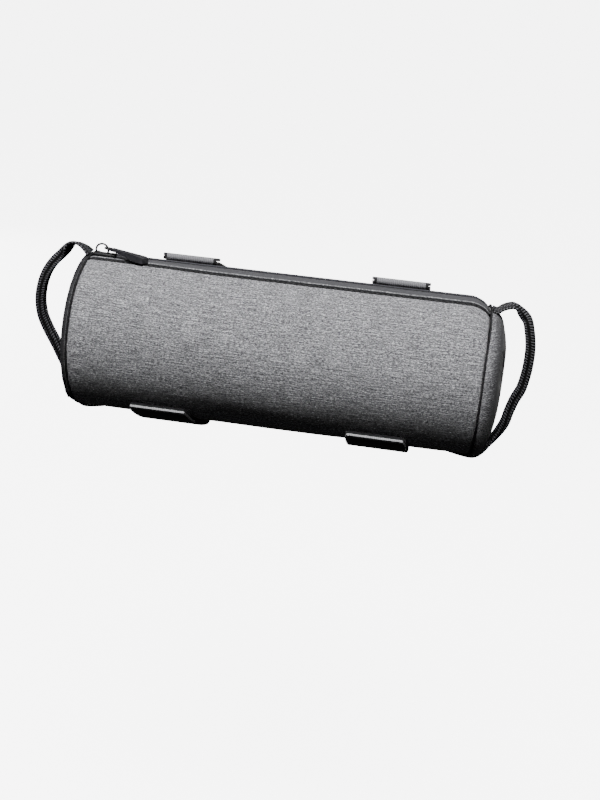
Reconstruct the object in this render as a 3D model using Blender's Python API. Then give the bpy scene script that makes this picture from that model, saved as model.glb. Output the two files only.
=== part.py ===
"""Round handlebar bag for a bicycle: a padded cloth tube lying along X, with domed
ends, a zip along its top, two webbing loops and two pairs of hook-and-loop straps.

Metres, +Z up. The origin is on the axis of the handlebar that the bag hangs from,
midway between the straps; +X runs along the bar and -Y is the front of the bag.
Angles round the bag are in degrees from +Y (the rear) towards +Z (the top), so
90 is the top line, 180 the front, 270 the underside and 360 the rear again.
"""
import math

import bmesh
import bpy
from mathutils import Matrix, Vector

# Bag body
BAG_DIAMETER = 0.088
BAG_LENGTH = 0.2245         # from seam to seam
WALL = 0.003                # foam-backed cloth
LEFT_BULGE = 0.0075         # how far each domed end stands out from its seam
RIGHT_BULGE = 0.012
LEFT_FULLNESS = 2.1         # 2 is an ellipse, more is a fuller dome
RIGHT_FULLNESS = 2.7
SEAM_GAP = 0.0003           # between panel and end at their seam
SEAM_DIP = 0.0008           # how far both are pulled in at the seam
SEAM_DIP_RUN = 0.0025       # length over which they are pulled in
PIPING_RADIUS = 0.0006
FIT_GAP = 0.0003            # between pieces that lie on each other

# The upper edge is rounded down at the +X end, where the zip turns the corner
CORNER_DROP = 0.009
CORNER_REACH = 0.002        # how far it is drawn out along X as well
CORNER_RUN = 0.009          # length of panel that it takes
CORNER_CAP_RUN = 0.009      # length of the end that it takes
CORNER_FULL_SPREAD = 20.0   # degrees either side of the top line that drop fully
CORNER_SPREAD = 75.0        # degrees either side of the top line that drop at all

# Place of the bag against the bar
BAR_RADIUS = 0.0159
BAG_TO_BAR = 0.003          # cloth to bar, where they come closest
BAR_RISE = 0.009            # bar axis above bag axis
BAG_SHIFT = -0.003          # bag's middle along X from the straps' middle

# Zip
ZIP_SLOT_WIDTH = 0.0128
SLOT_NARROWING = 0.002      # front edge comes in by this much at the slider's end
SLOT_NARROW_RUN = 0.090
TAPE_THICKNESS = 0.0008
TAPE_SINK = 0.001           # tape's face below the cloth's
TAPE_PART = 0.0005          # gap between the two tapes where the zip is closed
TAPE_EDGE_GAP = 0.0005      # tape to the edge of the slot, at the face of the tape
CHAIN_WIDTH = 0.006
CHAIN_THICKNESS = 0.0016
CHAIN_OPEN_RUN = 0.003      # length over which the tapes part behind the slider

SLIDER_LENGTH = 0.0132
SLIDER_WIDTH = 0.008
SLIDER_PLATE = 0.002
SLIDER_TO_SEAM = 0.0008
SLIDER_BEVEL = 0.0006
POST_WIDTH = 0.0016
POST_LENGTH = 0.0024
LOWER_PLATE = 0.0014
BAIL_RADIUS = 0.0035        # to the middle of its wire
BAIL_WIRE = 0.00055
BAIL_LEG = 0.0014           # straight part under the half round
BAIL_BACK = 0.0018          # bail's middle behind the slider's middle

PULL_EYE_RADIUS = 0.0021    # to the middle of its wire
PULL_EYE_WIRE = 0.0005
PULL_EYE_OFFSET = 0.0006    # eye's middle beyond the bail's wire
PULL_EYE_ON_BAIL = 20.0     # degrees up the half round
PULL_LENGTH = 0.024
PULL_WIDTH_NEAR = 0.0046
PULL_WIDTH_FAR = 0.0078
PULL_THICK_NEAR = 0.0016
PULL_THICK_FAR = 0.0032
PULL_BEVEL = 0.0006
PULL_YAW = -21.0            # towards the front
PULL_PITCH = 2.6            # down towards the free end
PULL_ROLL = -7.0            # top face leans to the front

# Webbing loops at the ends
WEBBING_WIDTH = 0.012
WEBBING_THICKNESS = 0.0012
WEBBING_CREASE = 0.003      # width of the folded middle
LOOP_REACH = 0.032
LOOP_LEFT_HEIGHT = 0.0486   # top of the left loop above the bag's axis
LOOP_RIGHT_HEIGHT = 0.0425

# Straps
STRAP_SPACING = 0.1205
STRAP_WIDTH = 0.033
STRAP_THICKNESS = 0.0017
UPPER_FOLD_ANGLE = 78.5
UPPER_TAIL_ANGLE = 73.0     # the sewn-down tail lies on top of the strap
UPPER_END_ON_BAR = -38.0
LOWER_FOLD_ANGLE = -137.0
LOWER_TAIL_ANGLE = -100.0
LOWER_SETTLE_ANGLE = -78.0  # where the strap lies on the cloth again
LOWER_END_ON_BAR = 52.0

# Facets
PANEL_STEPS = 48
CAP_RINGS = 7
CORNER_STEPS = 6
ARC_STEP = 8.0              # degrees a facet, straps on the bag
BAR_ARC_STEP = 12.0         # straps on the bar
FOLD_ARC_STEP = 30.0        # folded edges of the straps
LOOP_STEPS = 36
NARROWING_STEPS = 4
BAIL_STEPS = 12
EYE_STEPS = 16
NORMAL_STEP = 0.0002        # lengths and degrees over which a normal is taken
NORMAL_TURN = 0.3

BAG_RADIUS = BAG_DIAMETER / 2
HALF_LENGTH = BAG_LENGTH / 2
AXIS_DISTANCE = BAG_RADIUS + BAG_TO_BAR + BAR_RADIUS
BAG_AXIS = Vector((BAG_SHIFT, -math.sqrt(AXIS_DISTANCE ** 2 - BAR_RISE ** 2), -BAR_RISE))
SLOT_HALF_ANGLE = math.degrees(ZIP_SLOT_WIDTH / 2 / BAG_RADIUS)
TAPE_RADIUS = BAG_RADIUS - TAPE_SINK
CHAIN_DEPTH = TAPE_SINK + TAPE_THICKNESS + FIT_GAP
SLIDER_MIDDLE = -HALF_LENGTH + SLIDER_TO_SEAM + SLIDER_LENGTH / 2
POST_X = -HALF_LENGTH + SLIDER_TO_SEAM + POST_LENGTH
SLIDER_TOP = TAPE_RADIUS + FIT_GAP + SLIDER_PLATE
BAIL_CENTRE = BAG_AXIS + Vector((SLIDER_MIDDLE - BAIL_BACK, 0, SLIDER_TOP + BAIL_LEG))
INNER_LAYER = BAG_RADIUS + FIT_GAP + STRAP_THICKNESS / 2
OUTER_LAYER = INNER_LAYER + STRAP_THICKNESS + FIT_GAP
ON_BAR_INNER = BAR_RADIUS + STRAP_THICKNESS / 2
ON_BAR_OUTER = ON_BAR_INNER + STRAP_THICKNESS + FIT_GAP
BAG_CENTRE = (BAG_AXIS.y, BAG_AXIS.z)
BAR_CENTRE = (0.0, 0.0)

# Left and right loop, from the top of the end round to its underside. Each row has
# the outward place as a share of the reach; the height, as a share of the rise from
# the seam to the loop's top, then of the top itself, then of the bag's radius; how
# far the webbing is folded along its length, 0 to 1; and degrees that its rear edge
# is turned in towards the bag.
LOOP_LEFT = (
    (0.055, -0.08, 0.0, 0),
    (0.125, 0.40, 0.0, 5),
    (0.205, 0.76, 0.0, 10),
    (0.29, 0.96, 0.0, 12),
    (0.38, 1.00, 0.1, 12),
    (0.48, 0.965, 0.45, 8),
    (0.60, 0.885, 0.85, 3),
    (0.76, 0.770, 0.9, 0),
    (0.893, 0.622, 0.9, 0),
    (0.975, 0.445, 0.9, 0),
    (1.00, 0.257, 0.9, 0),
    (0.955, 0.072, 0.9, 0),
    (0.84, -0.11, 0.9, 0),
    (0.70, -0.285, 0.85, 0),
    (0.56, -0.475, 0.75, 0),
    (0.43, -0.66, 0.55, -4),
    (0.31, -0.835, 0.2, -10),
    (0.155, -0.985, 0.0, -8),
    (0.00, -1.045, 0.0, 0),
    (-0.35, -1.010, 0.0, 0),
)
LOOP_RIGHT = (
    (0.07, -0.30, 0.0, 0),
    (0.105, -0.44, 0.0, 0),
    (0.14, -0.55, 0.0, 0),
    (0.18, -0.45, 0.0, 0),
    (0.27, 0.27, 0.0, 0),
    (0.43, 1.00, 0.12, 0),
    (0.55, 0.965, 0.5, 0),
    (0.67, 0.90, 0.9, 0),
    (0.74, 0.82, 0.9, 0),
    (0.79, 0.70, 0.9, 0),
    (0.835, 0.55, 0.9, 0),
    (0.86, 0.388, 0.9, 0),
    (0.855, 0.15, 0.9, 0),
    (0.805, -0.107, 0.9, 0),
    (0.715, -0.275, 0.9, 0),
    (0.655, -0.43, 0.85, 0),
    (0.60, -0.605, 0.7, 0),
    (0.485, -0.76, 0.45, 0),
    (0.32, -0.915, 0.15, 0),
    (0.14, -1.03, 0.0, 0),
    (-0.02, -1.050, 0.0, 0),
    (-0.35, -1.010, 0.0, 0),
)

# Lower straps: sideways place of the fold and of the belly under the bag, as
# shares of the strap's width, from the middle of the upper strap.
LOWER_SKEW = {"left": (-0.14, 0.10), "right": (-0.11, -0.03)}


def clear_scene():
    for item in list(bpy.data.objects):
        bpy.data.objects.remove(item, do_unlink=True)


def finish(name, colour, roughness, metallic=0.0):
    material = bpy.data.materials.new(name)
    material.use_nodes = True
    shader = material.node_tree.nodes["Principled BSDF"]
    shader.inputs["Base Color"].default_value = (*colour, 1.0)
    shader.inputs["Roughness"].default_value = roughness
    shader.inputs["Metallic"].default_value = metallic
    return material


def link(name, data, material):
    item = bpy.data.objects.new(name, data)
    bpy.context.scene.collection.objects.link(item)
    data.materials.append(material)
    return item


def smooth(mesh, angle=35.0):
    mesh.shade_smooth()
    mesh.set_sharp_from_angle(angle=math.radians(angle))


def ease(share):
    share = min(max(share, 0.0), 1.0)
    return share * share * (3.0 - 2.0 * share)


def corner_share(x, angle, radius):
    """How far over the rounded corner at the +X end a point of the bag is, 0 to 1."""
    along = ease((x - HALF_LENGTH + CORNER_RUN) / (CORNER_RUN + CORNER_CAP_RUN))
    from_top = abs((angle - 90.0 + 180.0) % 360.0 - 180.0)
    round_bag = ease((CORNER_SPREAD - from_top) / (CORNER_SPREAD - CORNER_FULL_SPREAD))
    return along * round_bag * min(radius / BAG_RADIUS, 1.0) ** 2


def bag_point(x, angle, radius):
    turn = math.radians(angle)
    share = corner_share(x, angle, radius)
    return BAG_AXIS + Vector((x + CORNER_REACH * share, radius * math.cos(turn),
                              radius * math.sin(turn) - CORNER_DROP * share))


def bag_normal(x, angle, radius):
    """The direction straight out of the cloth at a point of the bag."""
    behind, ahead = (bag_point(x + step, angle, radius) for step in (-NORMAL_STEP, NORMAL_STEP))
    before, after = (bag_point(x, angle + turn, radius) for turn in (-NORMAL_TURN, NORMAL_TURN))
    along, around = ahead - behind, after - before
    return around.cross(along).normalized()


def under_cloth(x, across, depth):
    """A point on the zip: across from its middle line, and sunk below the cloth."""
    place = (x, 90.0 + math.degrees(across / (BAG_RADIUS - depth)), BAG_RADIUS)
    return bag_point(*place) - bag_normal(*place) * depth


def sheet(name, rows, material, thickness, offset, closed=False, pole=None):
    """A sheet through rows of points, made solid. offset -1 thickens it behind its
    faces and 0 both ways; a pole closes the last row to one point."""
    mesh = bpy.data.meshes.new(name)
    form = bmesh.new()
    grid = [[form.verts.new(point) for point in row] for row in rows]
    columns = len(rows[0])
    for row, following in zip(grid, grid[1:]):
        for j in range(columns if closed else columns - 1):
            k = (j + 1) % columns
            form.faces.new((row[j], row[k], following[k], following[j]))
    if pole is not None:
        tip = form.verts.new(pole)
        for j in range(columns):
            form.faces.new((grid[-1][j], grid[-1][(j + 1) % columns], tip))
    form.to_mesh(mesh)
    form.free()
    smooth(mesh)
    item = link(name, mesh, material)
    wall = item.modifiers.new("Wall", "SOLIDIFY")
    wall.thickness = thickness
    wall.offset = offset
    wall.use_even_offset = True
    return item


def tube(name, points, radius, material, cyclic=False, sides_resolution=1):
    """A round cord or wire through the points."""
    curve = bpy.data.curves.new(name, "CURVE")
    curve.dimensions = "3D"
    curve.bevel_depth = radius
    curve.bevel_resolution = sides_resolution
    curve.use_fill_caps = not cyclic
    spline = curve.splines.new("POLY")
    spline.points.add(len(points) - 1)
    for slot, point in zip(spline.points, points):
        slot.co = (*point, 1.0)
    spline.use_cyclic_u = cyclic
    return link(name, curve, material)


def block(size, centre):
    """A box as a bmesh, centred on a point."""
    form = bmesh.new()
    place = Matrix.Translation(centre) @ Matrix.Diagonal((*size, 1.0))
    bmesh.ops.create_cube(form, size=1.0, matrix=place)
    return form


def block_object(name, form, material, bevel=0.0):
    mesh = bpy.data.meshes.new(name)
    if bevel:
        bmesh.ops.bevel(form, geom=form.edges[:], offset=bevel, segments=2,
                        profile=0.5, affect="EDGES")
    form.to_mesh(mesh)
    form.free()
    smooth(mesh)
    return link(name, mesh, material)


def tube_guide(name, points, radius, material, cyclic=False):
    """The same round wire as a mesh, to be fused to another piece."""
    wire = tube(name + "_line", points, radius, material, cyclic, 2)
    mesh = bpy.data.meshes.new_from_object(wire)
    bpy.data.objects.remove(wire, do_unlink=True)
    item = bpy.data.objects.new(name, mesh)
    bpy.context.scene.collection.objects.link(item)
    return item


def join_by_union(item, others):
    """Fuses helper objects into one; the helpers stay as hidden guides."""
    for other in others:
        union = item.modifiers.new("Join " + other.name, "BOOLEAN")
        union.operation = "UNION"
        union.solver = "EXACT"
        union.object = other
        other.hide_render = True
        other.display_type = "WIRE"


def front_half_angle(x):
    """Angle from the zip's middle to the slot's front edge."""
    share = 1.0 - ease((x + HALF_LENGTH) / SLOT_NARROW_RUN)
    return SLOT_HALF_ANGLE - math.degrees(SLOT_NARROWING / BAG_RADIUS) * share


def narrowing_stations():
    return [-HALF_LENGTH + SLOT_NARROW_RUN * k / NARROWING_STEPS
            for k in range(1, NARROWING_STEPS + 1)]


def panel_stations():
    """Places along X where the main panel has a ring, and how far each is dipped."""
    end = HALF_LENGTH - SEAM_GAP / 2
    start_of_corner = HALF_LENGTH - CORNER_RUN
    rings = [(-end, SEAM_DIP), (-end + SEAM_DIP_RUN, 0.0)]
    rings += [(x, 0.0) for x in narrowing_stations()]
    step = (end - SEAM_DIP_RUN - start_of_corner) / CORNER_STEPS
    rings += [(start_of_corner + step * k, 0.0) for k in range(CORNER_STEPS + 1)]
    rings.append((end, SEAM_DIP))
    return rings


def build_main_panel(material):
    rows = []
    for x, dip in panel_stations():
        first = 90.0 + front_half_angle(x)
        sweep = 360.0 - front_half_angle(x) - SLOT_HALF_ANGLE
        rows.append([bag_point(x, first + sweep * k / PANEL_STEPS, BAG_RADIUS - dip)
                     for k in range(PANEL_STEPS + 1)])
    sheet("main_panel", rows, material, WALL, -1.0)


def build_end_cap(side, name, bulge, fullness, material):
    """A domed end. side is -1 for the left end and 1 for the right."""
    start = HALF_LENGTH + SEAM_GAP / 2
    angles = [360.0 * k / PANEL_STEPS * side for k in range(PANEL_STEPS)]
    power = 2.0 / fullness
    rows = [[bag_point(side * start, a, BAG_RADIUS - SEAM_DIP) for a in angles]]
    for k in range(1, CAP_RINGS):
        turn = math.pi / 2 * k / CAP_RINGS
        out = bulge * math.sin(turn) ** power
        radius = BAG_RADIUS * math.cos(turn) ** power
        rows.append([bag_point(side * (start + out), a, radius) for a in angles])
    pole = bag_point(side * (start + bulge), 0.0, 0.0)
    sheet(name, rows, material, WALL, -1.0, closed=True, pole=pole)


def build_piping(side, name, material):
    """The cord in the groove of a seam."""
    points = []
    for k in range(PANEL_STEPS):
        place = (side * HALF_LENGTH, 360.0 * k / PANEL_STEPS, BAG_RADIUS - SEAM_DIP)
        points.append(bag_point(*place) + bag_normal(*place) * (PIPING_RADIUS + FIT_GAP))
    tube(name, points, PIPING_RADIUS, material, cyclic=True)


def tape_part(x):
    """Half the gap between the tapes, which widens behind the slider's post."""
    wide = POST_WIDTH / 2 + FIT_GAP
    share = ease((x - POST_X - POST_LENGTH / 2 - FIT_GAP) / CHAIN_OPEN_RUN)
    return wide + (TAPE_PART / 2 - wide) * share


def zip_stations():
    behind = POST_X + POST_LENGTH / 2 + FIT_GAP
    start = -HALF_LENGTH + SEAM_GAP
    parts = [start, behind, behind + CHAIN_OPEN_RUN / 2, behind + CHAIN_OPEN_RUN]
    parts += narrowing_stations()
    end = HALF_LENGTH - SEAM_GAP
    first = HALF_LENGTH - CORNER_RUN
    parts += [first + (end - first) * k / CORNER_STEPS for k in range(CORNER_STEPS + 1)]
    return parts


def build_zip_tape(side, name, material):
    """One tape of the zip. side is 1 for the front tape and -1 for the rear one."""
    rows = []
    for x in zip_stations():
        inner = tape_part(x)
        edge = front_half_angle(x) if side > 0 else SLOT_HALF_ANGLE
        outer = math.radians(edge) * TAPE_RADIUS - TAPE_EDGE_GAP
        places = [inner + (outer - inner) * share for share in (0.0, 0.5, 1.0)]
        rows.append([under_cloth(x, side * p, TAPE_SINK) for p in places][::side])
    sheet(name, rows, material, TAPE_THICKNESS, -1.0)


def build_zip_chain(material):
    """The closed teeth, on the inner side of the tapes, from the slider to the end."""
    begin = POST_X + POST_LENGTH / 2 + FIT_GAP
    rows = []
    for x in [s for s in zip_stations() if s >= begin]:
        rows.append([under_cloth(x, p, CHAIN_DEPTH)
                     for p in (-CHAIN_WIDTH / 2, 0.0, CHAIN_WIDTH / 2)])
    sheet("zip_chain", rows, material, CHAIN_THICKNESS, -1.0)


def half_round(centre, radius, leg):
    """A half circle in the XZ plane with straight legs going down."""
    points = [centre + Vector((radius, 0, -leg))]
    for k in range(BAIL_STEPS + 1):
        turn = math.pi * k / BAIL_STEPS
        points.append(centre + Vector((radius * math.cos(turn), 0, radius * math.sin(turn))))
    points.append(centre + Vector((-radius, 0, -leg)))
    return points


def build_zip_slider(material):
    chain_bottom = BAG_RADIUS - CHAIN_DEPTH - CHAIN_THICKNESS - FIT_GAP
    plate_bottom = TAPE_RADIUS + FIT_GAP
    middle = BAG_AXIS + Vector((SLIDER_MIDDLE, 0, 0))
    top = block((SLIDER_LENGTH, SLIDER_WIDTH, SLIDER_PLATE),
                middle + Vector((0, 0, plate_bottom + SLIDER_PLATE / 2)))
    slider = block_object("zip_slider", top, material, SLIDER_BEVEL)
    lower = block((SLIDER_LENGTH, SLIDER_WIDTH, LOWER_PLATE),
                  middle + Vector((0, 0, chain_bottom - LOWER_PLATE / 2)))
    lower = block_object("guide_lower_plate", lower, material)
    post_top = plate_bottom + SLIDER_PLATE / 2
    post_bottom = chain_bottom - LOWER_PLATE / 2
    post = block((POST_LENGTH, POST_WIDTH, post_top - post_bottom),
                 BAG_AXIS + Vector((POST_X, 0, (post_top + post_bottom) / 2)))
    post = block_object("guide_post", post, material)
    leg = BAIL_LEG + SLIDER_PLATE / 2
    bail = tube_guide("guide_bail", half_round(BAIL_CENTRE, BAIL_RADIUS, leg), BAIL_WIRE,
                      material)
    join_by_union(slider, [lower, post, bail])


def build_zip_pull(material):
    """The moulded tab and its eye. The object's origin is on the bail's centre, the
    line about which the tab turns."""
    on_bail = math.radians(PULL_EYE_ON_BAIL)
    crossing = Vector((BAIL_RADIUS * math.cos(on_bail), 0, BAIL_RADIUS * math.sin(on_bail)))
    lie = (Matrix.Translation(crossing)
           @ Matrix.Rotation(math.radians(PULL_YAW), 4, "Z")
           @ Matrix.Rotation(math.radians(PULL_PITCH), 4, "Y")
           @ Matrix.Rotation(math.radians(PULL_ROLL), 4, "X"))
    form = block((PULL_LENGTH, 1.0, 1.0), Vector((0, 0, 0)))
    near = PULL_EYE_OFFSET + PULL_EYE_RADIUS - PULL_EYE_WIRE / 2
    for vert in form.verts:
        share = vert.co.x / PULL_LENGTH + 0.5
        wide = PULL_WIDTH_NEAR + (PULL_WIDTH_FAR - PULL_WIDTH_NEAR) * share
        thick = PULL_THICK_NEAR + (PULL_THICK_FAR - PULL_THICK_NEAR) * share
        up = PULL_THICK_NEAR / 2 if vert.co.z > 0 else PULL_THICK_NEAR / 2 - thick
        vert.co = Vector((near + share * PULL_LENGTH, vert.co.y * wide, up))
    pull = block_object("zip_pull", form, material, PULL_BEVEL)
    pull.data.transform(lie)
    pull.location = BAIL_CENTRE
    ring = []
    for k in range(EYE_STEPS):
        turn = 2 * math.pi * k / EYE_STEPS
        flat = Vector((PULL_EYE_OFFSET + PULL_EYE_RADIUS * math.cos(turn),
                       PULL_EYE_RADIUS * math.sin(turn), 0))
        ring.append(BAIL_CENTRE + lie @ flat)
    eye = tube_guide("guide_eye", ring, PULL_EYE_WIRE, material, cyclic=True)
    join_by_union(pull, [eye])


def curve_through(rows, steps):
    """Points on a smooth curve through the rows, as lists of their columns."""
    spans = len(rows) - 1
    result = []
    for k in range(steps + 1):
        place = spans * k / steps
        i = min(int(place), spans - 1)
        t = place - i
        p0, p1 = rows[max(i - 1, 0)], rows[i]
        p2, p3 = rows[i + 1], rows[min(i + 2, spans)]
        result.append([0.5 * (2 * b + (c - a) * t + (2 * a - 5 * b + 4 * c - d) * t * t
                              + (3 * b - a - 3 * c + d) * t ** 3)
                       for a, b, c, d in zip(p0, p1, p2, p3)])
    return result


def loop_path(side, table, top):
    """Points of a loop's middle line, each with its fold and its turn."""
    seam = bag_point(side * HALF_LENGTH, 90.0, BAG_RADIUS).z - BAG_AXIS.z
    highest = max(range(len(table)), key=lambda index: table[index][1])
    rows = []
    for index, (out, up, fold, lean) in enumerate(table):
        if index < highest:
            height = seam + (top - seam) * up
        else:
            height = (top if up > 0.0 else BAG_RADIUS) * up
        rows.append((side * (HALF_LENGTH + LOOP_REACH * out), height, fold, lean))
    return curve_through(rows, LOOP_STEPS)


def build_end_loop(side, name, table, top, material):
    """A webbing loop from the top of an end to its underside, folded along its
    middle with the crease outermost. The rows cross it on its inner face."""
    path = loop_path(side, table, top)
    places = [Vector((x, 0, z)) for x, z, _, _ in path]
    leg = (WEBBING_WIDTH - WEBBING_CREASE) / 2
    rows = []
    for k, (_, _, fold, lean) in enumerate(path):
        ahead = places[min(k + 1, len(places) - 1)] - places[max(k - 1, 0)]
        ahead.normalize()
        inward = Vector((-ahead.z, 0, ahead.x)) * -side
        fold_turn = math.radians(90.0) * min(max(fold, 0.0), 1.0)
        row = []
        for reach in (leg, leg / 2, 0.0):
            row.append(Vector((-(WEBBING_CREASE / 2 + reach * math.cos(fold_turn)),
                               reach * math.sin(fold_turn))))
        row += [Vector((-place.x, place.y)) for place in reversed(row)]
        turned = [Matrix.Rotation(math.radians(lean), 2) @ place for place in row]
        rows.append([BAG_AXIS + places[k] + Vector((0, place.x, 0)) + inward * place.y
                     for place in turned][::side])
    sheet(name, rows, material, WEBBING_THICKNESS, -1.0)


def arc(centre, radius, start, end, step=ARC_STEP):
    """Points on an arc in the YZ plane, as (y, z)."""
    count = max(int(math.ceil(abs(end - start) / step)), 1)
    points = []
    for k in range(count + 1):
        turn = math.radians(start + (end - start) * k / count)
        points.append((centre[0] + radius * math.cos(turn),
                       centre[1] + radius * math.sin(turn)))
    return points


def fold_arc(angle, inner, outer, direction):
    """The half circle that turns a strap back over itself."""
    turn = math.radians(angle)
    middle = (inner + outer) / 2
    centre = (BAG_AXIS.y + middle * math.cos(turn), BAG_AXIS.z + middle * math.sin(turn))
    half = (outer - inner) / 2
    return arc(centre, half, angle + direction * 180.0, angle, FOLD_ARC_STEP)[1:-1]


def tangent_angle(on_bag, on_bar, upper):
    """Angle at which a strap leaves the bag's circle for the bar's."""
    lean = math.degrees(math.atan2(-BAG_AXIS.z, -BAG_AXIS.y))
    open_angle = math.degrees(math.acos((on_bag - on_bar) / AXIS_DISTANCE))
    return lean + open_angle if upper else lean - open_angle


def strap_sheet(name, path, centres, material):
    half = STRAP_WIDTH / 2
    rows = [[Vector((x - half, y, z)), Vector((x + half, y, z))]
            for (y, z), x in zip(path, centres)]
    return sheet(name, rows, material, STRAP_THICKNESS, 0.0)


def build_upper_strap(side, name, material):
    """From the fold sewn on behind the zip, back over the bar and down behind it."""
    leave = tangent_angle(INNER_LAYER, ON_BAR_INNER, True)
    path = arc(BAG_CENTRE, OUTER_LAYER, UPPER_TAIL_ANGLE, UPPER_FOLD_ANGLE)
    path += fold_arc(UPPER_FOLD_ANGLE, INNER_LAYER, OUTER_LAYER, 1.0)[::-1]
    path += arc(BAG_CENTRE, INNER_LAYER, UPPER_FOLD_ANGLE, leave)
    path += arc(BAR_CENTRE, ON_BAR_INNER, leave, UPPER_END_ON_BAR, BAR_ARC_STEP)
    strap_sheet(name, path, [side * STRAP_SPACING / 2] * len(path), material)


def build_lower_strap(side, name, skew, material):
    """From the fold sewn on low at the front, under the bag and up behind the bar."""
    leave = tangent_angle(INNER_LAYER, ON_BAR_OUTER, False)
    tail = arc(BAG_CENTRE, INNER_LAYER, LOWER_TAIL_ANGLE, LOWER_FOLD_ANGLE)
    nose = fold_arc(LOWER_FOLD_ANGLE, INNER_LAYER, OUTER_LAYER, -1.0)
    back = arc(BAG_CENTRE, OUTER_LAYER, LOWER_FOLD_ANGLE, LOWER_TAIL_ANGLE)
    settle = []
    for k in (1, 2, 3):
        share = k / 3
        angle = LOWER_TAIL_ANGLE + (LOWER_SETTLE_ANGLE - LOWER_TAIL_ANGLE) * share
        radius = OUTER_LAYER + (INNER_LAYER - OUTER_LAYER) * ease(share)
        settle += arc(BAG_CENTRE, radius, angle, angle)[:1]
    rest = arc(BAG_CENTRE, INNER_LAYER, LOWER_SETTLE_ANGLE, leave)[1:]
    rest += arc(BAR_CENTRE, ON_BAR_OUTER, leave, LOWER_END_ON_BAR, BAR_ARC_STEP)
    path = tail + nose + back + settle + rest

    middle = side * STRAP_SPACING / 2
    at_fold, at_belly = (share * STRAP_WIDTH for share in skew)
    shifts = [at_belly + (at_fold - at_belly) * k / (len(tail) - 1) for k in range(len(tail))]
    shifts += [at_fold] * len(nose)
    shifts += [at_fold + (at_belly - at_fold) * k / (len(back) - 1) for k in range(len(back))]
    shifts += [at_belly] * len(settle)
    shifts += [at_belly * (1 - ease((k + 1) / len(rest))) for k in range(len(rest))]
    strap_sheet(name, path, [middle + shift for shift in shifts], material)


def build():
    clear_scene()
    melange = finish("melange_cloth", (0.30, 0.30, 0.31), 0.9)
    cord = finish("piping_cord", (0.02, 0.02, 0.022), 0.6)
    tape = finish("zip_tape", (0.06, 0.06, 0.065), 0.85)
    nylon = finish("zip_teeth", (0.02, 0.02, 0.02), 0.45)
    metal = finish("painted_zip_metal", (0.02, 0.02, 0.02), 0.3, 0.6)
    moulded = finish("moulded_pull", (0.05, 0.05, 0.055), 0.3)
    webbing = finish("black_webbing", (0.02, 0.02, 0.022), 0.7)
    hook = finish("hook_strap", (0.03, 0.03, 0.033), 0.8)
    loop = finish("loop_strap", (0.04, 0.04, 0.043), 0.95)

    build_main_panel(melange)
    build_zip_tape(1, "zip_tape_front", tape)
    build_zip_tape(-1, "zip_tape_rear", tape)
    build_zip_chain(nylon)
    build_zip_slider(metal)
    build_zip_pull(moulded)
    domes = {"left": (LEFT_BULGE, LEFT_FULLNESS), "right": (RIGHT_BULGE, RIGHT_FULLNESS)}
    tables = {"left": (LOOP_LEFT, LOOP_LEFT_HEIGHT), "right": (LOOP_RIGHT, LOOP_RIGHT_HEIGHT)}
    for side, word in ((-1, "left"), (1, "right")):
        build_end_cap(side, "end_cap_" + word, *domes[word], melange)
        build_piping(side, "rim_piping_" + word, cord)
        build_end_loop(side, "end_loop_" + word, *tables[word], webbing)
        build_upper_strap(side, "upper_strap_" + word, loop)
        build_lower_strap(side, "lower_strap_" + word, LOWER_SKEW[word], hook)


build()
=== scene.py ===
import math

import bmesh
import bpy
from mathutils import Matrix, Vector, noise


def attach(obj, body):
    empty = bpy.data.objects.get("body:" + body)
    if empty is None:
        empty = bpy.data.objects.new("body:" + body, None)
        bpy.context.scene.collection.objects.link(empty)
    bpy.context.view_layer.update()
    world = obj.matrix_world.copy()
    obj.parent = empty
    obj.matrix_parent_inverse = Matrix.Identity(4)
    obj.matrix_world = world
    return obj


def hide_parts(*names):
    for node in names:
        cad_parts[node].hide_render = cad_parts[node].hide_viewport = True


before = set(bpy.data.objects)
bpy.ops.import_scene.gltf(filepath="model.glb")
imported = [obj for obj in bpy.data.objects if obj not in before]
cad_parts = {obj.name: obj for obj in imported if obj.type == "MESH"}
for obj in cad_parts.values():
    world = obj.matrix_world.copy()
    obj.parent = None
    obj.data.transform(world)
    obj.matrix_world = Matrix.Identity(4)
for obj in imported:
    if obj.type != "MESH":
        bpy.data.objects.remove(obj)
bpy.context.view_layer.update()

# Sizes in metres, as in the solids
BAG_AXIS = Vector((-0.003, -0.0622528, -0.009))
BAG_RADIUS = 0.044
HALF_LENGTH = 0.11225
WALL = 0.003
LEFT_BULGE, RIGHT_BULGE = 0.0075, 0.012
LEFT_FULLNESS, RIGHT_FULLNESS = 2.1, 2.7
SEAM_GAP = 0.0003
SEAM_DIP = 0.0008
SEAM_DIP_RUN = 0.0025
CORNER_DROP = 0.009
CORNER_REACH = 0.002
CORNER_RUN = 0.009
CORNER_CAP_RUN = 0.009
CORNER_FULL_SPREAD = 20.0
CORNER_SPREAD = 75.0
SLOT_HALF_ANGLE = math.degrees(0.0128 / 2 / BAG_RADIUS)
SLOT_NARROWING = 0.002
SLOT_NARROW_RUN = 0.090
TAPE_SINK = 0.001
TAPE_THICKNESS = 0.0008
TAPE_RADIUS = BAG_RADIUS - TAPE_SINK
PIPING_RADIUS, PIPING_RISE = 0.0006, 0.0009
POST_X = -HALF_LENGTH + 0.0032
POST_LENGTH, POST_WIDTH, POST_DEPTH, POST_HEIGHT = 0.0024, 0.0016, 0.0050, 0.0416
SLIDER_X = -HALF_LENGTH + 0.0074
SLIDER_LENGTH, SLIDER_WIDTH = 0.0130, 0.0078
TOP_PLATE_HEIGHT, TOP_PLATE_THICKNESS = 0.0443, 0.0019
BOTTOM_PLATE_HEIGHT, BOTTOM_PLATE_THICKNESS = 0.0392, 0.0013
BAIL_CENTRE = Vector((-0.10965, -0.0622528, 0.0377))
BAIL_RADIUS, BAIL_WIRE, BAIL_LEG = 0.0035, 0.0006, 0.0022
TAB_START, TAB_LENGTH, TAB_TOP = 0.00245, 0.024, 0.0008
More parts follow.
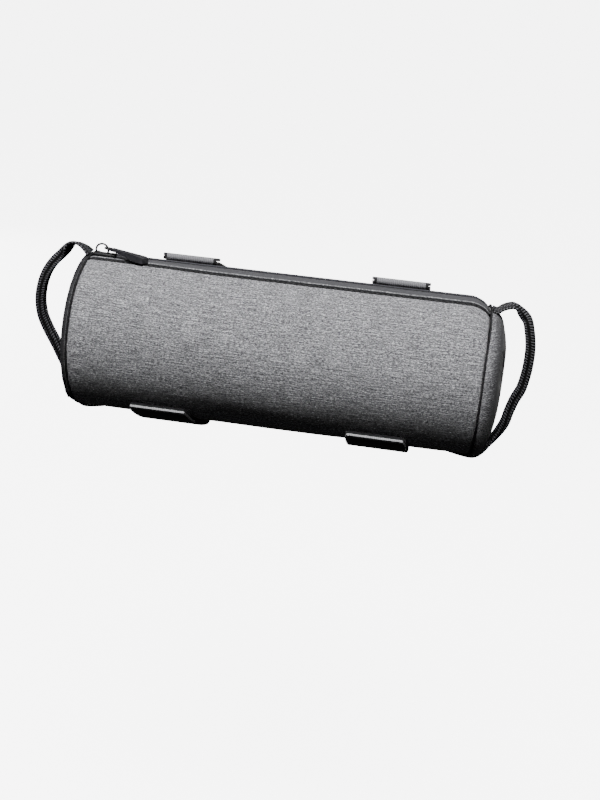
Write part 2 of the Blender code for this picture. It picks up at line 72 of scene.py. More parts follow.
TAB_WIDTH, TAB_FLARE = 0.0046, 0.0032
TAB_THICKNESS, TAB_SWELL = 0.0016, 0.0021
EYE_RADIUS, EYE_WIRE, EYE_X = 0.0021, 0.00055, 0.0006
WEBBING_WIDTH = 0.012
WEBBING_THICKNESS = 0.0012
WEBBING_CREASE = 0.003
LOOP_REACH = 0.032
STRAP_WIDTH = 0.033
STRAP_THICKNESS = 0.0017
STRAP_SPACING = 0.1205
BAR_RADIUS = 0.0159
AXIS_DISTANCE = 0.0629
BAG_CENTRE = (BAG_AXIS.y, BAG_AXIS.z)
INNER_LAYER = BAG_RADIUS + 0.0003 + STRAP_THICKNESS / 2
OUTER_LAYER = INNER_LAYER + STRAP_THICKNESS + 0.0003
ON_BAR_INNER = BAR_RADIUS + STRAP_THICKNESS / 2
ON_BAR_OUTER = ON_BAR_INNER + STRAP_THICKNESS + 0.0003

# Angles of the straps in degrees from the rear: the sewn ends and folds round the
# bag, where the lower strap is single again, and the free ends round the bar
UPPER_TAIL, UPPER_FOLD, UPPER_FREE = 73.0, 78.5, -38.0
LOWER_FOLD, LOWER_TAIL, LOWER_SINGLE, LOWER_FREE = -137.0, -100.0, -78.0, 52.0

# How the tab lies on its bail: its place round it, then its turns, in degrees
TAB_LIFT, TAB_YAW, TAB_PITCH, TAB_ROLL = 20.0, -21.0, 2.6, -7.0

# From the front fold of the panel: where the stitches lie in their groove, and
# where the cloth behind the zip turns darker
STITCH_LINE = 0.0036
BAND_START = math.radians(360.0 - 2 * SLOT_HALF_ANGLE) * BAG_RADIUS - 0.0135
STITCH_FROM, STITCH_TO, STITCH_PITCH, THREAD_RADIUS = -0.1093, 0.1098, 0.0029, 0.00055

# Where painted shade darkens the grey cloth of the ends towards black, along the bag, as the
# domes turn from the light
LEFT_SHADE_FROM, LEFT_SHADE_TO = -0.1152, -0.1166
RIGHT_SHADE_FROM, RIGHT_SHADE_TO = 0.1096, 0.1172

# From the middle of the webbing to the line where its folded half turns in, darkened there with
# painted shade in the crease
CREASE_SHADE_LINE = 0.0038

# Loops: outward share of the reach, height share, fold and lean, as in the solids
LOOP_LEFT = (
    (0.055, -0.08, 0.0, 0), (0.125, 0.40, 0.0, 5), (0.205, 0.76, 0.0, 10),
    (0.29, 0.96, 0.0, 12), (0.38, 1.00, 0.1, 12), (0.48, 0.965, 0.45, 8),
    (0.60, 0.885, 0.85, 3), (0.76, 0.770, 0.9, 0), (0.893, 0.622, 0.9, 0),
    (0.975, 0.445, 0.9, 0), (1.00, 0.257, 0.9, 0), (0.955, 0.072, 0.9, 0),
    (0.84, -0.11, 0.9, 0), (0.70, -0.285, 0.85, 0), (0.56, -0.475, 0.75, 0),
    (0.43, -0.66, 0.55, -4), (0.31, -0.835, 0.2, -10), (0.155, -0.985, 0.0, -8),
    (0.00, -1.045, 0.0, 0), (-0.35, -1.010, 0.0, 0),
)
LOOP_RIGHT = (
    (0.07, -0.30, 0.0, 0), (0.105, -0.44, 0.0, 0), (0.14, -0.55, 0.0, 0),
    (0.18, -0.45, 0.0, 0), (0.27, 0.27, 0.0, 0), (0.43, 1.00, 0.12, 0),
    (0.55, 0.965, 0.5, 0), (0.67, 0.90, 0.9, 0), (0.74, 0.82, 0.9, 0),
    (0.79, 0.70, 0.9, 0), (0.835, 0.55, 0.9, 0), (0.86, 0.388, 0.9, 0),
    (0.855, 0.15, 0.9, 0), (0.805, -0.107, 0.9, 0), (0.715, -0.275, 0.9, 0),
    (0.655, -0.43, 0.85, 0), (0.60, -0.605, 0.7, 0), (0.485, -0.76, 0.45, 0),
    (0.32, -0.915, 0.15, 0), (0.14, -1.03, 0.0, 0), (-0.02, -1.050, 0.0, 0),
    (-0.35, -1.010, 0.0, 0),
)
LOOP_TOP = {"left": 0.0486, "right": 0.0425}
# Sideways shares of the lower straps' width, at the fold and under the bag
LOWER_SKEW = {"left": (-0.14, 0.10), "right": (-0.11, -0.03)}

CAMERA_DISTANCE = 0.647
LIGHTS_AIM = (0, -0.05, 0)
FLOOR_HEIGHT = -0.42
STUDIO_RADIUS = 6.0


def place_camera():
    """The camera at the photograph's angle, with its roll and framing."""
    azimuth, elevation, roll = math.radians(6.99), math.radians(18.0), math.radians(4.95)
    away = Vector((math.sin(azimuth) * math.cos(elevation),
                   -math.cos(azimuth) * math.cos(elevation), math.sin(elevation)))
    data = bpy.data.cameras.new("camera")
    data.lens = 51.12
    data.sensor_width = 36.0
    data.shift_x = 18.0 / 800
    data.shift_y = -49.1 / 800
    data.clip_start = 0.01
    data.clip_end = 100.0
    camera = bpy.data.objects.new("camera", data)
    bpy.context.scene.collection.objects.link(camera)
    look = away.to_track_quat("Z", "Y").to_matrix().to_4x4()
    middle = Vector((-0.00225, BAG_AXIS.y, BAG_AXIS.z))
    camera.matrix_world = (Matrix.Translation(middle + away * CAMERA_DISTANCE) @ look
                           @ Matrix.Rotation(roll, 4, "Z"))
    bpy.context.scene.camera = camera


def area_light(name, place, target, size, power):
    data = bpy.data.lights.new(name, "AREA")
    data.shape = "SQUARE"
    data.size = size
    data.energy = power
    lamp = bpy.data.objects.new(name, data)
    bpy.context.scene.collection.objects.link(lamp)
    lamp.location = place
    lamp.rotation_euler = (Vector(place) - Vector(target)).to_track_quat("Z", "Y").to_euler()


# Materials

def linear(code):
    """An sRGB hex colour as the linear values that a shader takes."""
    parts = [int(code[i:i + 2], 16) / 255 for i in (1, 3, 5)]
    return tuple(c / 12.92 if c <= 0.04045 else ((c + 0.055) / 1.055) ** 2.4
                 for c in parts) + (1.0,)


def add(tree, kind, inputs=None, stops=None, **settings):
    """Adds a node: an input is a value or a socket to link from, and stops are the
    places and hex colours of a ramp. Gives the node's first output. Inputs named by a
    number: 0 to 2 are a Math node's values, 1 to 4 are the limits that a Map Range
    goes from and to, and 0, 6 and 7 are the share and the two colours of a Mix."""
    made = tree.nodes.new(kind)
    for key, value in settings.items():
        setattr(made, key, value)
    for key, value in (inputs or {}).items():
        if isinstance(value, bpy.types.NodeSocket):
            tree.links.new(value, made.inputs[key])
        else:
            made.inputs[key].default_value = value
    for number, (place, code) in enumerate(stops or ()):
        elements = made.color_ramp.elements
        element = elements[number] if number < len(elements) else elements.new(place)
        element.position = place
        element.color = linear(code)
    return made.outputs[0]


def surface(name, **sockets):
    """A new material with its Principled shader's own sockets set."""
    material = bpy.data.materials.new(name)
    material.use_nodes = True
    tree = material.node_tree
    shader = tree.nodes["Principled BSDF"]
    for key, value in sockets.items():
        shader.inputs[key.replace("_", " ").title().replace("Ior", "IOR")].default_value = value
    return material, tree, shader


def melange_polyester(name, shade_from=None, shade_to=None):
    """Grey melange polyester on foam: light and dark yarns mixed, so its face is
    streaked with short pale and dark flecks that run along the bag. On the panel the
    stitched groove is darkened with painted shade, and the cloth is darker behind the
    zip. On an end the cloth is darkened towards black between two places along the
    bag, as painted shade where the dome turns from the light."""
    material, tree, shader = surface(name, roughness=0.88, sheen_weight=0.1,
                                     sheen_roughness=0.5, specular_ior_level=0.2)
    uv = add(tree, "ShaderNodeUVMap", uv_map="cloth")
    # yarns are about 0.35 mm apart, drawn about 0.5 mm so that they show in the render
    flecks = add(tree, "ShaderNodeTexNoise", {"Vector": add(tree, "ShaderNodeMapping", {
        "Vector": uv, "Scale": (1 / 0.0016, 1 / 0.0005, 1)}), "Scale": 1.0, "Detail": 2.0,
        "Roughness": 0.6})
    grain = add(tree, "ShaderNodeTexNoise", {"Vector": add(tree, "ShaderNodeMapping", {
        "Vector": uv, "Scale": (1 / 0.0007, 1 / 0.00045, 1)}), "Scale": 1.0, "Detail": 1.0})
    streaks = add(tree, "ShaderNodeTexNoise", {"Vector": add(tree, "ShaderNodeMapping", {
        "Vector": uv, "Scale": (1 / 0.010, 1 / 0.0008, 1)}), "Scale": 1.0, "Detail": 2.0})
    mixed = add(tree, "ShaderNodeMath", {0: flecks, 1: 0.45}, operation="MULTIPLY")
    mixed = add(tree, "ShaderNodeMath", {0: grain, 1: 0.33, 2: mixed},
                operation="MULTIPLY_ADD")
    mixed = add(tree, "ShaderNodeMath", {0: streaks, 1: 0.22, 2: mixed},
                operation="MULTIPLY_ADD")
    colour = add(tree, "ShaderNodeValToRGB", {"Fac": mixed},
                 ((0.37, "#202022"), (0.46, "#5f5f62"), (0.54, "#8c8c8f"), (0.64, "#e0e0e3")))
    if shade_from is not None:
        # painted shade: along the bag, the end's grey cloth is mixed towards near black where
        # the dome turns from the light
        place = add(tree, "ShaderNodeTexCoord").node.outputs["Object"]
        x = add(tree, "ShaderNodeSeparateXYZ", {"Vector": place})
        black = add(tree, "ShaderNodeMapRange", {"Value": x, 1: shade_from, 2: shade_to,
                                                 4: 0.94})
        colour = add(tree, "ShaderNodeMix", {0: black, 6: colour, 7: linear("#19191b")},
                     data_type="RGBA").node.outputs[2]
    else:
        along = add(tree, "ShaderNodeSeparateXYZ", {"Vector": uv}).node.outputs[1]
        # painted shade: the cloth in the sewn groove beside the front fold is darkened towards
        # near black
        beside = add(tree, "ShaderNodeMath", {0: along, 1: STITCH_LINE}, operation="SUBTRACT")
        beside = add(tree, "ShaderNodeMath", {0: beside}, operation="ABSOLUTE")
        groove_shade = add(tree, "ShaderNodeMapRange", {"Value": beside, 1: 0.0015, 2: 0.0020,
                                                  3: 0.96, 4: 0.0})
        colour = add(tree, "ShaderNodeMix", {0: groove_shade, 6: colour, 7: linear("#0c0c0e")},
                     data_type="RGBA").node.outputs[2]
        behind = add(tree, "ShaderNodeMath", {0: along, 1: BAND_START},
                     operation="GREATER_THAN")
        band = add(tree, "ShaderNodeValToRGB", {"Fac": grain},
                   ((0.3, "#2b2b2f"), (0.7, "#47474c")))
        colour = add(tree, "ShaderNodeMix", {0: behind, 6: colour, 7: band},
                     data_type="RGBA").node.outputs[2]
    tree.links.new(colour, shader.inputs["Base Color"])
    # rows of yarn, as fine as that in the real cloth, are drawn 1.4 mm apart to show
    warp = add(tree, "ShaderNodeTexWave", {"Vector": add(tree, "ShaderNodeMapping", {
        "Vector": uv, "Scale": (1 / 0.007, 1 / 0.007, 1)}), "Scale": 1.6, "Distortion": 1.5,
        "Detail": 2.0}, bands_direction="Y")
    height = add(tree, "ShaderNodeMath", {0: warp, 1: 0.35, 2: mixed},
                 operation="MULTIPLY_ADD")
    bump = add(tree, "ShaderNodeBump", {"Height": height, "Strength": 0.4,
                                        "Distance": 0.0004})
    tree.links.new(bump, shader.inputs["Normal"])
    return material


def plain_lining():
    """Black nylon lining: thin, smooth and closely woven, with a faint sheen."""
    material, tree, shader = surface("black_nylon_lining", roughness=0.6, sheen_weight=0.1)
    place = add(tree, "ShaderNodeTexCoord").node.outputs["Object"]
    # threads are about 0.15 mm apart, drawn about 0.6 mm so that they show
    grain = add(tree, "ShaderNodeTexNoise", {"Vector": place, "Scale": 1 / 0.0006,
                                             "Detail": 2.0})
    colour = add(tree, "ShaderNodeValToRGB", {"Fac": grain},
                 ((0.3, "#121214"), (0.7, "#232326")))
    tree.links.new(colour, shader.inputs["Base Color"])
    bump = add(tree, "ShaderNodeBump", {"Height": grain, "Strength": 0.2,
                                        "Distance": 0.0001})
    tree.links.new(bump, shader.inputs["Normal"])
    return material


def ribbed_nylon(name, dark, light, pitch, slant):
    """Black nylon webbing or cord: thick threads woven across it give ribs, whose
    crests are painted lighter as highlight and whose valleys are painted darker as
    shade. The webbing's real ribs are about 1.05 mm apart, and it is given a wider
    pitch so that they show. Along a line where its folded half turns in, it is dented
    and darkened with painted shade in the crease."""
    material, tree, shader = surface(name, roughness=0.55, specular_ior_level=0.35)
    uv = add(tree, "ShaderNodeUVMap", uv_map="cloth")
    split = add(tree, "ShaderNodeSeparateXYZ", {"Vector": uv}).node
    sideways = add(tree, "ShaderNodeMath", {0: split.outputs[0]}, operation="ABSOLUTE")
    along = add(tree, "ShaderNodeMath", {0: sideways, 1: slant, 2: split.outputs[1]},
                operation="MULTIPLY_ADD")
    phase = add(tree, "ShaderNodeMath", {0: along, 1: 2 * math.pi / pitch},
                operation="MULTIPLY")
    wave = add(tree, "ShaderNodeMath", {0: phase}, operation="SINE")
    rib = add(tree, "ShaderNodeMath", {0: wave, 1: 0.5, 2: 0.5}, operation="MULTIPLY_ADD")
    fuzz = add(tree, "ShaderNodeTexNoise", {"Vector": uv, "Scale": 1 / 0.0008,
                                            "Detail": 3.0})
    mixed = add(tree, "ShaderNodeMath", {0: fuzz, 1: 0.35}, operation="MULTIPLY")
    mixed = add(tree, "ShaderNodeMath", {0: rib, 1: 0.65, 2: mixed}, operation="MULTIPLY_ADD")
    # painted shade in the crease where the folded half turns in; the same dip also dents the
    # bump
    crease_shade = add(tree, "ShaderNodeMath", {0: sideways, 1: CREASE_SHADE_LINE},
                  operation="SUBTRACT")
    crease_shade = add(tree, "ShaderNodeMath", {0: crease_shade}, operation="ABSOLUTE")
    crease_shade = add(tree, "ShaderNodeMapRange", {"Value": crease_shade, 1: 0.0002, 2: 0.0009})
    mixed = add(tree, "ShaderNodeMath", {0: mixed, 1: crease_shade}, operation="MULTIPLY")
    # painted highlight on the rib crests and painted shade in the valleys between them
    colour = add(tree, "ShaderNodeValToRGB", {"Fac": mixed},
                 ((0.35, dark), (0.55, "#141416"), (0.78, light)))
    tree.links.new(colour, shader.inputs["Base Color"])
    bump = add(tree, "ShaderNodeBump", {"Height": mixed, "Strength": 0.9,
                                        "Distance": 0.0005})
    tree.links.new(bump, shader.inputs["Normal"])
    return material


def strap_tape(name, highlight_codes, highlight_half, highlight_shift, bare_end, rib_run):
    """Black hook-and-loop tape. The fold where it is sewn to the bag has a paler
    ribbed strip along its edge between two stitched blocks, painted on as highlight;
    the rest is a close, dull pile."""
    material, tree, shader = surface(name, roughness=0.72, sheen_weight=0.15,
                                     sheen_roughness=0.45, specular_ior_level=0.3)
    uv = add(tree, "ShaderNodeUVMap", uv_map="cloth")
    split = add(tree, "ShaderNodeSeparateXYZ", {"Vector": uv}).node
    sideways = add(tree, "ShaderNodeMath", {0: split.outputs[0]}, operation="ABSOLUTE")
    from_fold = add(tree, "ShaderNodeMath", {0: split.outputs[1]}, operation="ABSOLUTE")
    # loops of the pile are about 0.4 mm apart, drawn about 0.8 mm so that they show
    pile = add(tree, "ShaderNodeTexNoise", {"Vector": uv, "Scale": 1 / 0.0008,
                                            "Detail": 3.0, "Roughness": 0.65})
    ribs = add(tree, "ShaderNodeTexWave", {"Vector": add(tree, "ShaderNodeMapping", {
        "Vector": uv, "Scale": (1 / 0.0034, 1 / 0.02, 1)}), "Scale": 1.0, "Distortion": 1.2,
        "Detail": 1.0}, bands_direction="X")
    base = add(tree, "ShaderNodeValToRGB", {"Fac": pile},
               ((0.3, "#101012"), (0.75, "#2a2a2d")))
    woven = add(tree, "ShaderNodeMath", {0: ribs, 1: 0.5}, operation="MULTIPLY")
    woven = add(tree, "ShaderNodeMath", {0: pile, 1: 0.5, 2: woven},
                operation="MULTIPLY_ADD")
    # painted highlight: a paler ribbed strip along the fold's edge, where it catches the light
    # from above
    fold_highlight = add(tree, "ShaderNodeValToRGB", {"Fac": woven},
              ((0.1, highlight_codes[0]), (0.8, highlight_codes[1])))
    off_highlight = add(tree, "ShaderNodeMath", {0: split.outputs[1], 1: highlight_shift},
                  operation="SUBTRACT")
    off_highlight = add(tree, "ShaderNodeMath", {0: off_highlight}, operation="ABSOLUTE")
    on_highlight = add(tree, "ShaderNodeMath", {0: off_highlight, 1: highlight_half}, operation="LESS_THAN")
    middle = add(tree, "ShaderNodeMath", {0: sideways, 1: STRAP_WIDTH / 2 - bare_end},
                 operation="LESS_THAN")
    share = add(tree, "ShaderNodeMath", {0: on_highlight, 1: middle}, operation="MULTIPLY")
    colour = add(tree, "ShaderNodeMix", {0: share, 6: base, 7: fold_highlight},
                 data_type="RGBA").node.outputs[2]
    tree.links.new(colour, shader.inputs["Base Color"])
    near = add(tree, "ShaderNodeMath", {0: from_fold, 1: rib_run}, operation="LESS_THAN")
    raised = add(tree, "ShaderNodeMath", {0: ribs, 1: near, 2: pile},
                 operation="MULTIPLY_ADD")
    bump = add(tree, "ShaderNodeBump", {"Height": raised, "Strength": 0.6,
                                        "Distance": 0.0003})
    tree.links.new(bump, shader.inputs["Normal"])
    return material


def woven_zip_tape():
    """Woven polyester zip tape: dark grey, with fine ribs along its length."""
    material, tree, shader = surface("woven_polyester_zip_tape", roughness=0.85,
                                     sheen_weight=0.05, specular_ior_level=0.25)
    uv = add(tree, "ShaderNodeUVMap", uv_map="cloth")
    # ribs are about 0.5 mm apart, drawn 1.3 mm apart so that they show
    ribs = add(tree, "ShaderNodeTexWave", {"Vector": add(tree, "ShaderNodeMapping", {
        "Vector": uv, "Scale": (1 / 0.005, 1 / 0.005, 1)}), "Scale": 1.2,
        "Distortion": 0.5}, bands_direction="Y")
    grain = add(tree, "ShaderNodeTexNoise", {"Vector": add(tree, "ShaderNodeMapping", {
        "Vector": uv, "Scale": (1 / 0.0009, 1 / 0.0006, 1)}), "Scale": 1.0, "Detail": 2.0})
    mixed = add(tree, "ShaderNodeMath", {0: grain, 1: 0.65}, operation="MULTIPLY")
    mixed = add(tree, "ShaderNodeMath", {0: ribs, 1: 0.35, 2: mixed},
                operation="MULTIPLY_ADD")
    colour = add(tree, "ShaderNodeValToRGB", {"Fac": mixed},
                 ((0.2, "#303033"), (0.8, "#565659")))
    tree.links.new(colour, shader.inputs["Base Color"])
    bump = add(tree, "ShaderNodeBump", {"Height": mixed, "Strength": 0.4,
                                        "Distance": 0.0002})
    tree.links.new(bump, shader.inputs["Normal"])
    return material


def small_finish(name, low, high, rough, coat=0.0, grain=0.0005):
    """A hard or threaded finish with a faint variation of its colour and surface. The
    real grain is under 0.1 mm, and is drawn coarser so that it shows."""
    material, tree, shader = surface(name, coat_weight=coat, coat_roughness=0.15)
    place = add(tree, "ShaderNodeTexCoord").node.outputs["Object"]
    spots = add(tree, "ShaderNodeTexNoise", {"Vector": place, "Scale": 1 / (grain * 3),
                                             "Detail": 3.0})
    tree.links.new(add(tree, "ShaderNodeValToRGB", {"Fac": spots}, ((0.3, low), (0.7, high))),
                   shader.inputs["Base Color"])
    rough_node = add(tree, "ShaderNodeMapRange", {"Value": spots, 3: rough - 0.06,
                                                  4: rough + 0.06})
    tree.links.new(rough_node, shader.inputs["Roughness"])
    fine = add(tree, "ShaderNodeTexNoise", {"Vector": place, "Scale": 1 / grain,
                                            "Detail": 2.0})
    bump = add(tree, "ShaderNodeBump", {"Height": fine, "Strength": 0.15,
                                        "Distance": 0.0001})
    tree.links.new(bump, shader.inputs["Normal"])
    return material


# Shapes

def ease(share):
    share = min(max(share, 0.0), 1.0)
    return share * share * (3.0 - 2.0 * share)


def bag_point(x, angle, radius):
    """A point of the bag: angle in degrees from the rear towards the top. The upper
    edge is rounded down at the +X end."""
    along = ease((x - HALF_LENGTH + CORNER_RUN) / (CORNER_RUN + CORNER_CAP_RUN))
    from_top = abs((angle - 90.0 + 180.0) % 360.0 - 180.0)
    round_bag = ease((CORNER_SPREAD - from_top) / (CORNER_SPREAD - CORNER_FULL_SPREAD))
    share = along * round_bag * min(radius / BAG_RADIUS, 1.0) ** 2
    turn = math.radians(angle)
    return BAG_AXIS + Vector((x + CORNER_REACH * share, radius * math.cos(turn),
                              radius * math.sin(turn) - CORNER_DROP * share))


def bag_normal(x, angle, radius):
    ahead = bag_point(x + 0.0002, angle, radius) - bag_point(x - 0.0002, angle, radius)
    after = bag_point(x, angle + 0.3, radius) - bag_point(x, angle - 0.3, radius)
    return after.cross(ahead).normalized()


def on_zip(x, across, depth):
    place = (x, 90.0 + math.degrees(across / (BAG_RADIUS - depth)), BAG_RADIUS)
    return bag_point(*place) - bag_normal(*place) * depth


def front_half_angle(x):
    """Angle from the zip's middle to the slot's front edge."""
    share = 1.0 - ease((x + HALF_LENGTH) / SLOT_NARROW_RUN)
    return SLOT_HALF_ANGLE - math.degrees(SLOT_NARROWING / BAG_RADIUS) * share


def lofted(name, rows, marks, material, closed=False, pole=None):
    """A sheet through rows of points. marks gives each point its place on the cloth
    in metres, one more to a row than the points where the rows close."""
    mesh = bpy.data.meshes.new(name)
    form = bmesh.new()
    layer = form.loops.layers.uv.new("cloth")
    grid = [[form.verts.new(point) for point in row] for row in rows]
    columns = len(rows[0])
    for i in range(len(grid) - 1):
        for j in range(columns if closed else columns - 1):
            k = (j + 1) % columns
            face = form.faces.new((grid[i][j], grid[i][k], grid[i + 1][k], grid[i + 1][j]))
            corners = (marks[i][j], marks[i][j + 1], marks[i + 1][j + 1], marks[i + 1][j])
            for loop, mark in zip(face.loops, corners):
                loop[layer].uv = mark
    if pole is not None:
        tip = form.verts.new(pole)
        for j in range(columns):
            face = form.faces.new((grid[-1][j], grid[-1][(j + 1) % columns], tip))
            for loop, mark in zip(face.loops, (marks[-1][j], marks[-1][j + 1], (0.0, 0.0))):
                loop[layer].uv = mark
    for face in form.faces:
        face.smooth = True
    form.to_mesh(mesh)
    form.free()
    item = bpy.data.objects.new(name, mesh)
    bpy.context.scene.collection.objects.link(item)
    mesh.materials.append(material)
    return item


def wall(item, thickness, offset, inner=None):
    solid = item.modifiers.new("Wall", "SOLIDIFY")
    solid.thickness = thickness
    solid.offset = offset
    solid.use_even_offset = True
    if inner is not None:
        item.data.materials.append(inner)
        solid.material_offset = 1


def refine(item):
    smooth = item.modifiers.new("Smooth", "SUBSURF")
    smooth.levels = smooth.render_levels = 1
    smooth.boundary_smooth = "PRESERVE_CORNERS"


def fill_out(item, held, growth, pressure, reach):
    """Lets a padded piece swell and pucker as cloth over its foam, sewn down at the
    held points, and never moving further than reach."""
    seam = item.vertex_groups.new(name="seam")
    seam.add(held, 1.0, "REPLACE")
    at_rest = [vert.co.copy() for vert in item.data.vertices]
    cloth = item.modifiers.new("Filling", "CLOTH")
    cloth.settings.quality = 6
    cloth.settings.mass = 0.2
    cloth.settings.tension_stiffness = 20
    cloth.settings.compression_stiffness = 20
    cloth.settings.bending_stiffness = 0.3
    cloth.settings.vertex_group_mass = "seam"
    cloth.settings.shrink_min = -growth
    cloth.settings.use_pressure = True
    cloth.settings.uniform_pressure_force = pressure
    cloth.settings.effector_weights.gravity = 0.0
    cloth.point_cache.frame_start = 1
    cloth.point_cache.frame_end = 20
    scene = bpy.context.scene
    for step in range(1, 21):
        scene.frame_set(step)
    drawn = item.evaluated_get(bpy.context.evaluated_depsgraph_get()).to_mesh()
    moved = [vert.co.copy() for vert in drawn.vertices]
    item.modifiers.remove(cloth)
    item.vertex_groups.remove(seam)
    for vert, start, end in zip(item.data.vertices, at_rest, moved):
        way = end - start
        if way.length > reach:
            way *= reach / way.length
        vert.co = start + way
    scene.frame_set(1)


def make_panel(cloth, lining):
    """The padded tube. Its cut edges along the zip are folded under, with a sewn
    groove beside the front fold."""
    # distance from the fold, and how far the cloth stands out there
    front = ((0.0, -0.0010), (0.0003, -0.0003), (0.0007, 0.0002), (0.0012, 0.0004),
             (0.0018, 0.0003), (0.0024, -0.0003), (0.0030, -0.0010), (0.0036, -0.0013),
             (0.0042, -0.0010), (0.0049, -0.0002), (0.0058, 0.0002), (0.0072, 0.0001),
             (0.0088, 0.0))
    rear = ((0.0, -0.0007), (0.0003, -0.0002), (0.0008, 0.0), (0.0020, 0.0), (0.0040, 0.0))
    turned = math.degrees(1.0 / BAG_RADIUS)
    steps = 84
    end = HALF_LENGTH - SEAM_GAP / 2
    stations = [-end, -end + 0.0006, -end + 0.0014, -end + SEAM_DIP_RUN]
    count = 76
    start_x, stop_x = -end + SEAM_DIP_RUN, end - SEAM_DIP_RUN
    stations += [start_x + (stop_x - start_x) * k / count for k in range(1, count + 1)]
    stations += [end - 0.0014, end - 0.0006, end]
    rows, marks = [], []
    for x in stations:
        first = 90.0 + front_half_angle(x)
        sweep = 360.0 - front_half_angle(x) - SLOT_HALF_ANGLE
        plan = [(first + s * turned, rise) for s, rise in front]
        begin, stop = plan[-1][0], first + sweep - rear[-1][0] * turned
        plan += [(begin + (stop - begin) * k / steps, None) for k in range(1, steps)]
        plan += [(first + sweep - s * turned, rise) for s, rise in reversed(rear)]
        dip = SEAM_DIP * ease(1 - (end - abs(x)) / SEAM_DIP_RUN)
        row = []
        for angle, rise in plan:
            place = (x, angle, BAG_RADIUS)
            if rise is None:
                turn = math.radians(angle)
                rise = 0.0004 * noise.noise(Vector((x * 28, math.cos(turn) * 1.3,
                                                    math.sin(turn) * 1.3)))
            row.append(bag_point(*place) + bag_normal(*place) * (rise - dip))
        rows.append(row)
        marks.append([(x, math.radians(angle - first) * BAG_RADIUS) for angle, _ in plan])
    item = lofted("panel_cloth", rows, marks, cloth)
    columns, held = len(rows[0]), []
    for i, x in enumerate(stations):
        for j in range(columns):
            on_edge = j < len(front) or j >= columns - len(rear)
            if on_edge or end - abs(x) < 0.0001:
                held.append(i * columns + j)
    fill_out(item, held, growth=0.012, pressure=1.5, reach=0.0009)
    refine(item)
    wall(item, WALL, -1.0, lining)
    return item


def make_cap(side, name, bulge, fullness, cloth, lining):
    """A domed padded end, sewn to the panel round its rim."""
    start = HALF_LENGTH + SEAM_GAP / 2
    columns, rings = 120, 18
    angles = [360.0 * k / columns * side for k in range(columns + 1)]
    power = 2.0 / fullness
    shape = [(0.0, BAG_RADIUS - SEAM_DIP)]
    for k in range(1, rings):
        turn = math.pi / 2 * (k / rings) ** 1.15
        shape.append((bulge * math.sin(turn) ** power, BAG_RADIUS * math.cos(turn) ** power))
    reach = [0.0]
    for (x0, r0), (x1, r1) in zip(shape, shape[1:]):
        reach.append(reach[-1] + math.hypot(x1 - x0, r1 - r0))
    whole = reach[-1] + shape[-1][1]
    rows, marks = [], []
    for (out, radius), far in zip(shape, reach):
        rows.append([bag_point(side * (start + out), a, min(radius, BAG_RADIUS - SEAM_DIP
                     * (1 - ease(out / SEAM_DIP_RUN)))) for a in angles[:-1]])
        marks.append([((whole - far) * math.cos(math.radians(a)),
                       (whole - far) * math.sin(math.radians(a))) for a in angles])
    pole = bag_point(side * (start + bulge), 0.0, 0.0)
    item = lofted(name, rows, marks, cloth, closed=True, pole=pole)
    fill_out(item, list(range(columns)), growth=0.02, pressure=2.0, reach=0.0012)
    refine(item)
    wall(item, WALL, -1.0, lining)
    return item


def round_ring(name, points, radius, material):
    """A closed mesh tube with its own cloth marks: round it, and length along it."""
    rows, marks = [], []
    total, count, sides = 0.0, len(points), 10
    for k in range(count + 1):
        here = points[k % count]
        along = (points[(k + 1) % count] - points[(k - 1) % count]).normalized()
        out = (here - BAG_AXIS)
        out = (out - along * out.dot(along)).normalized()
        sideways = along.cross(out)
        rows.append([here + (out * math.cos(2 * math.pi * s / sides)
                             + sideways * math.sin(2 * math.pi * s / sides)) * radius
                     for s in range(sides)])
        marks.append([(2 * math.pi * radius * s / sides, total) for s in range(sides + 1)])
        total += (points[(k + 1) % count] - here).length
    item = lofted(name, rows, marks, material, closed=True)
    form = bmesh.new()
    form.from_mesh(item.data)
    bmesh.ops.remove_doubles(form, verts=form.verts[:], dist=0.00001)
    bmesh.ops.recalc_face_normals(form, faces=form.faces[:])
    form.to_mesh(item.data)
    form.free()
    return item


def make_piping(side, name, material):
    """The cord in the groove between the panel and an end."""
    points, count = [], 144
    for k in range(count):
        place = (side * HALF_LENGTH, 360.0 / count * k, BAG_RADIUS - SEAM_DIP)
        points.append(bag_point(*place) + bag_normal(*place) * PIPING_RISE)
    return round_ring(name, points, PIPING_RADIUS, material)


def make_tape(side, name, material):
    """Half of the zip's tape, raised a little where the teeth are sewn under it."""
    behind = POST_X + POST_LENGTH / 2 + 0.0003
    closing_run, beside_post, beside_half = 0.003, 0.0011, 0.00025
    start, end = -HALF_LENGTH + SEAM_GAP, HALF_LENGTH - SEAM_GAP
    stations = [start, behind] + [behind + closing_run * k / 5 for k in range(1, 6)]
    stations += [stations[-1] + (end - stations[-1]) * k / 110 for k in range(1, 111)]
    # share of the tape's width from its inner edge, and how far it stands up there
    hump = ((0.0, -0.0001), (0.08, 0.0), (0.18, 0.00022), (0.32, 0.00025), (0.46, 0.0),
            (0.7, 0.0), (1.0, 0.0))
    rows, marks = [], []
    for x in stations:
        edge = front_half_angle(x) if side > 0 else SLOT_HALF_ANGLE
        outer = math.radians(edge) * TAPE_RADIUS - 0.0005
        share = ease((x - behind) / closing_run)
        inner = beside_post + (beside_half - beside_post) * share
        row = [on_zip(x, side * (inner + (outer - inner) * s), TAPE_SINK - rise)
               for s, rise in hump]
        mark = [(x, side * (inner + (outer - inner) * s)) for s, _ in hump]
        rows.append(row[::side])
        marks.append(mark[::side])
    item = lofted(name, rows, marks, material)
    wall(item, TAPE_THICKNESS, -1.0)
    return item


def curve_through(table, steps):
    spans = len(table) - 1
    result = []
    for k in range(steps + 1):
        place = spans * k / steps
        i = min(int(place), spans - 1)
        t = place - i
        corners = (table[max(i - 1, 0)], table[i], table[i + 1], table[min(i + 2, spans)])
        result.append([0.5 * (2 * b + (c - a) * t + (2 * a - 5 * b + 4 * c - d) * t * t
                              + (3 * b - a - 3 * c + d) * t ** 3)
                       for a, b, c, d in zip(*corners)])
    return result


